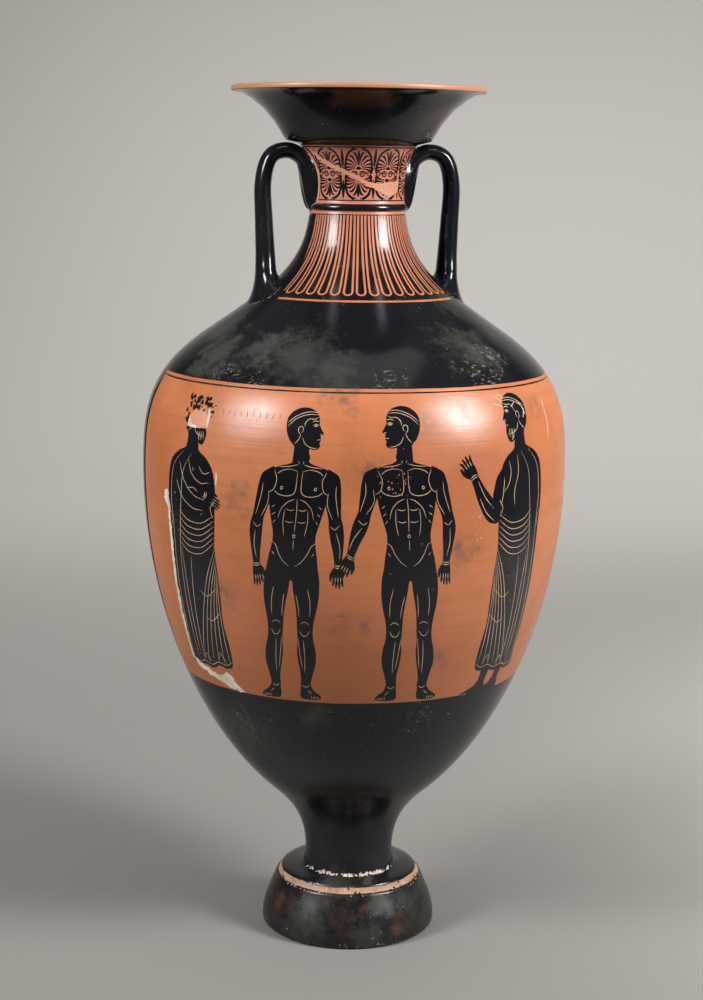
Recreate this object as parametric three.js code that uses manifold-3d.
// Panathenaic amphora: a slim prize jar of fired clay with a flaring mouth and two upright handles.
// Millimetres, +Z up. The origin is the middle of the resting ring, and the handles lie along X.
import * as THREE from 'three';
import { ParametricGeometry } from 'three/addons/geometries/ParametricGeometry.js';
import { mergeVertices } from 'three/addons/utils/BufferGeometryUtils.js';
import Module from 'manifold-3d';

// Overall sizes
const HEIGHT = 790;
const RIM_RADIUS = 115.5;
const WALL = 6.5;
const OUTER_STEPS = 44;
const INNER_STEPS = 32;

// Foot: a flat resting ring round a hollow underside, a swelling side, a step and a disc under the stem
const REST_INNER_RADIUS = 62;
const REST_OUTER_RADIUS = 77;
const HOLLOW_HEIGHT = 42;
const HOLLOW_PULL = { r: 50, z: 20 };
const FOOT_RADIUS = 82.5;
const FOOT_EDGE_Z = 6;
const FOOT_SWELL = { r: 81.8, z: 20 };
const FOOT_WAIST = { r: 74, z: 34 };
const FOOT_TOP = { r: 69.5, z: 49 };
const STEP = { r: 65.5, z: 50 };
const DISC = { r: 64, z: 56 };
const STEM_JOIN = { r: 43.5, z: 58.5 };

// Wall from stem to neck: at each turn a radius, a height, the slope of the wall in degrees from level,
// and how far the curve keeps to that slope before and after the turn
const BODY_TURNS = [
  { r: 41.4, z: 72, slope: 90, before: 0, after: 40, steps: 0 },
  { r: 79.6, z: 142.8, slope: 41.5, before: 20, after: 90, steps: 6 },
  { r: 195.8, z: 448.7, slope: 90, before: 127, after: 52, steps: 9 },
  { r: 137.8, z: 569.7, slope: 145.5, before: 63, after: 87, steps: 7 },
  { r: 42.9, z: 700, slope: 90, before: 67, after: 0, steps: 9 },
];

// Neck ring, upper neck and mouth
const RING = { r: 46.2, z: 683, half: 3 };
const NECK_RADIUS = 43.2;
const NECK_PULLS = [{ r: 42.6, z: 708 }, { r: 43.4, z: 724 }];
const NECK_TOP = { r: 53.5, z: 739 };
const MOUTH_CORNER = { r: 66.3, z: 742 };
const MOUTH_PULLS = [{ r: 72, z: 752 }, { r: 82, z: 773 }];
const LIP_BOTTOM = { r: 108, z: 785 };
const LIP_ROUND = 1.2;
const RIM_INNER_RADIUS = 104;
const FUNNEL_PULLS = [{ r: 55, z: 757 }, { r: 84, z: 778 }];

// Floor of the inside
const FLOOR_Z = 116;
const FLOOR_START_Z = 150;
const FLOOR_PULLS = [{ r: 34, z: 116 }, { r: 62, z: 136 }];
const OPEN_ABOVE_RIM = 10;

// Handle: centre line from inside the shoulder, up, over under the mouth and down into the neck,
// with half the width seen from the front and half the depth seen from the side at even steps along it
const HANDLE_PATH = [
  [84, 598], [84.3, 632], [86, 670], [87, 704], [80.5, 727],
  [64.5, 733], [50, 724.5], [43.6, 708], [41.5, 692], [36.5, 680],
];
const HANDLE_HALF_WIDTH = [12, 9.4, 8.4, 7.8, 7.4, 7.2, 7, 6];
const HANDLE_HALF_DEPTH = [32, 16, 12.5, 11.5, 11.5, 12.5, 15.5, 18];
const HANDLE_SIDES = 12;
const HANDLE_ROWS = 20;

const wasm = await Module();
wasm.setup();

const at = (place) => new THREE.Vector2(place.r, place.z);
const spot = (r, z) => new THREE.Vector2(r, z);
const axisSpot = (z) => spot(0, z);
const bend = (steps, ...points) => new THREE.CubicBezierCurve(...points).getPoints(steps);

// A step of a given length on a slope in degrees from level
function heading(degrees, length) {
  const angle = THREE.MathUtils.degToRad(degrees);
  return spot(Math.cos(angle), Math.sin(angle)).multiplyScalar(length);
}

// One stretch of wall between two turns, which leaves and arrives along their slopes
function wallBetween(from, to) {
  const leave = at(from).add(heading(from.slope, from.after));
  const arrive = at(to).sub(heading(to.slope, to.before));
  return bend(to.steps, at(from), leave, arrive, at(to)).slice(1);
}

function footOutline() {
  const level = spot(HOLLOW_PULL.r / 2, HOLLOW_HEIGHT);
  const hollow = bend(4, axisSpot(HOLLOW_HEIGHT), level, at(HOLLOW_PULL), spot(REST_INNER_RADIUS, 0));
  const edge = spot(FOOT_RADIUS, FOOT_EDGE_Z);
  const under = spot(FOOT_RADIUS - FOOT_EDGE_Z / 3, 0);
  const corner = bend(2, spot(REST_OUTER_RADIUS, 0), under, spot(FOOT_RADIUS, FOOT_EDGE_Z / 3), edge);
  const side = bend(5, edge, at(FOOT_SWELL), at(FOOT_WAIST), at(FOOT_TOP));
  const step = [at(STEP), at(DISC), at(STEM_JOIN)];
  return [...hollow, ...corner, ...side.slice(1), ...step];
}

function bodyOutline() {
  const start = BODY_TURNS[0];
  const walls = BODY_TURNS.slice(1).flatMap((turn, i) => wallBetween(BODY_TURNS[i], turn));
  return [at(start), ...walls].filter((p) => p.y < RING.z - RING.half);
}

function upperNeckOutline() {
  return bend(6, spot(NECK_RADIUS, RING.z + RING.half), ...NECK_PULLS.map(at), at(NECK_TOP));
}

function ringOutline() {
  const low = spot(NECK_RADIUS, RING.z - RING.half);
  const high = spot(NECK_RADIUS, RING.z + RING.half);
  const reach = RING.r + (RING.r - NECK_RADIUS) / 3;
  return bend(4, low, spot(reach, low.y), spot(reach, high.y), high);
}

function mouthOutline() {
  const flare = bend(6, at(MOUTH_CORNER), ...MOUTH_PULLS.map(at), at(LIP_BOTTOM));
  const lipUnder = spot(RIM_RADIUS - LIP_ROUND, LIP_BOTTOM.z);
  const lipLow = spot(RIM_RADIUS, LIP_BOTTOM.z + LIP_ROUND);
  const lipHigh = spot(RIM_RADIUS, HEIGHT - LIP_ROUND);
  const lipTop = spot(RIM_RADIUS - LIP_ROUND, HEIGHT);
  return [...flare, lipUnder, lipLow, lipHigh, lipTop, axisSpot(HEIGHT)];
}

// The same line moved square to itself into the clay
function movedInward(points, distance) {
  return points.map((p, i) => {
    const before = points[Math.max(i - 1, 0)];
    const after = points[Math.min(i + 1, points.length - 1)];
    const along = after.clone().sub(before).normalize();
    return spot(p.x - along.y * distance, p.y + along.x * distance);
  });
}

// The hollow of the pot, from its round floor up to an open top above the rim
function insideOutline() {
  const wall = movedInward(bodyOutline(), WALL).filter((p) => p.y > FLOOR_START_Z);
  const floor = bend(4, axisSpot(FLOOR_Z), ...FLOOR_PULLS.map(at), wall[0]);
  const neck = movedInward(upperNeckOutline(), WALL);
  const throat = neck[neck.length - 1];
  const funnel = bend(6, throat, ...FUNNEL_PULLS.map(at), spot(RIM_INNER_RADIUS, HEIGHT));
  const above = HEIGHT + OPEN_ABOVE_RIM;
  const open = [spot(RIM_INNER_RADIUS, above), axisSpot(above)];
  return [...floor, ...wall.slice(1), ...neck, ...funnel.slice(1), ...open];
}

// A closed geometry as a solid: shared corners merged, and the triangles with no area at the poles left out
function solid(geometry) {
  geometry.deleteAttribute('normal');
  geometry.deleteAttribute('uv');
  const merged = mergeVertices(geometry, 1e-3);
  const corners = merged.index.array;
  const kept = [];
  for (let i = 0; i < corners.length; i += 3) {
    const [a, b, c] = corners.slice(i, i + 3);
    if (a !== b && b !== c && c !== a) kept.push(a, b, c);
  }
  const vertProperties = new Float32Array(merged.attributes.position.array);
  return new wasm.Manifold(new wasm.Mesh({ numProp: 3, vertProperties, triVerts: new Uint32Array(kept) }));
}

function turned(outline, steps) {
  return solid(new THREE.LatheGeometry(outline, steps).rotateX(Math.PI / 2));
}

// A value read smoothly from a list of values at even steps, for t from 0 to 1
function along(values, t) {
  const line = new THREE.SplineCurve(values.map((value, i) => spot(i, value)));
  return line.getPoint(t).y;
}

// Oval section carried along the centre line, closed at each end
function handle(turn) {
  const path = new THREE.CatmullRomCurve3(HANDLE_PATH.map(([x, z]) => new THREE.Vector3(x, 0, z)));
  const sideways = new THREE.Vector3(0, 1, 0);
  const surface = (u, v, target) => {
    const row = Math.round(v * HANDLE_ROWS);
    const t = THREE.MathUtils.clamp((row - 1) / (HANDLE_ROWS - 2), 0, 1);
    const closed = row === 0 || row === HANDLE_ROWS;
    const angle = u === 1 ? 0 : u * 2 * Math.PI;
    const outward = sideways.clone().cross(path.getTangentAt(t));
    const width = closed ? 0 : along(HANDLE_HALF_WIDTH, t) * Math.cos(angle);
    const depth = closed ? 0 : along(HANDLE_HALF_DEPTH, t) * Math.sin(angle);
    target.copy(path.getPointAt(t)).addScaledVector(outward, width).addScaledVector(sideways, depth);
  };
  return solid(new ParametricGeometry(surface, HANDLE_SIDES, HANDLE_ROWS).rotateZ(turn));
}

function bufferGeometry(manifold) {
  const mesh = manifold.getMesh();
  const geometry = new THREE.BufferGeometry();
  geometry.setAttribute('position', new THREE.BufferAttribute(new Float32Array(mesh.vertProperties), 3));
  geometry.setIndex(new THREE.BufferAttribute(new Uint32Array(mesh.triVerts), 1));
  geometry.computeVertexNormals();
  return geometry;
}

const outside = [
  ...footOutline(),
  ...bodyOutline(),
  ...ringOutline(),
  ...upperNeckOutline().slice(1),
  ...mouthOutline(),
];
const pot = turned(outside, OUTER_STEPS)
  .add(handle(0))
  .add(handle(Math.PI))
  .subtract(turned(insideOutline(), INNER_STEPS));

const blackGloss = new THREE.MeshStandardMaterial({ color: 0x16130f, roughness: 0.28, metalness: 0 });
const amphora = new THREE.Mesh(bufferGeometry(pot), blackGloss);
amphora.name = 'amphora';

const object = new THREE.Group();
object.add(amphora);

export default object;
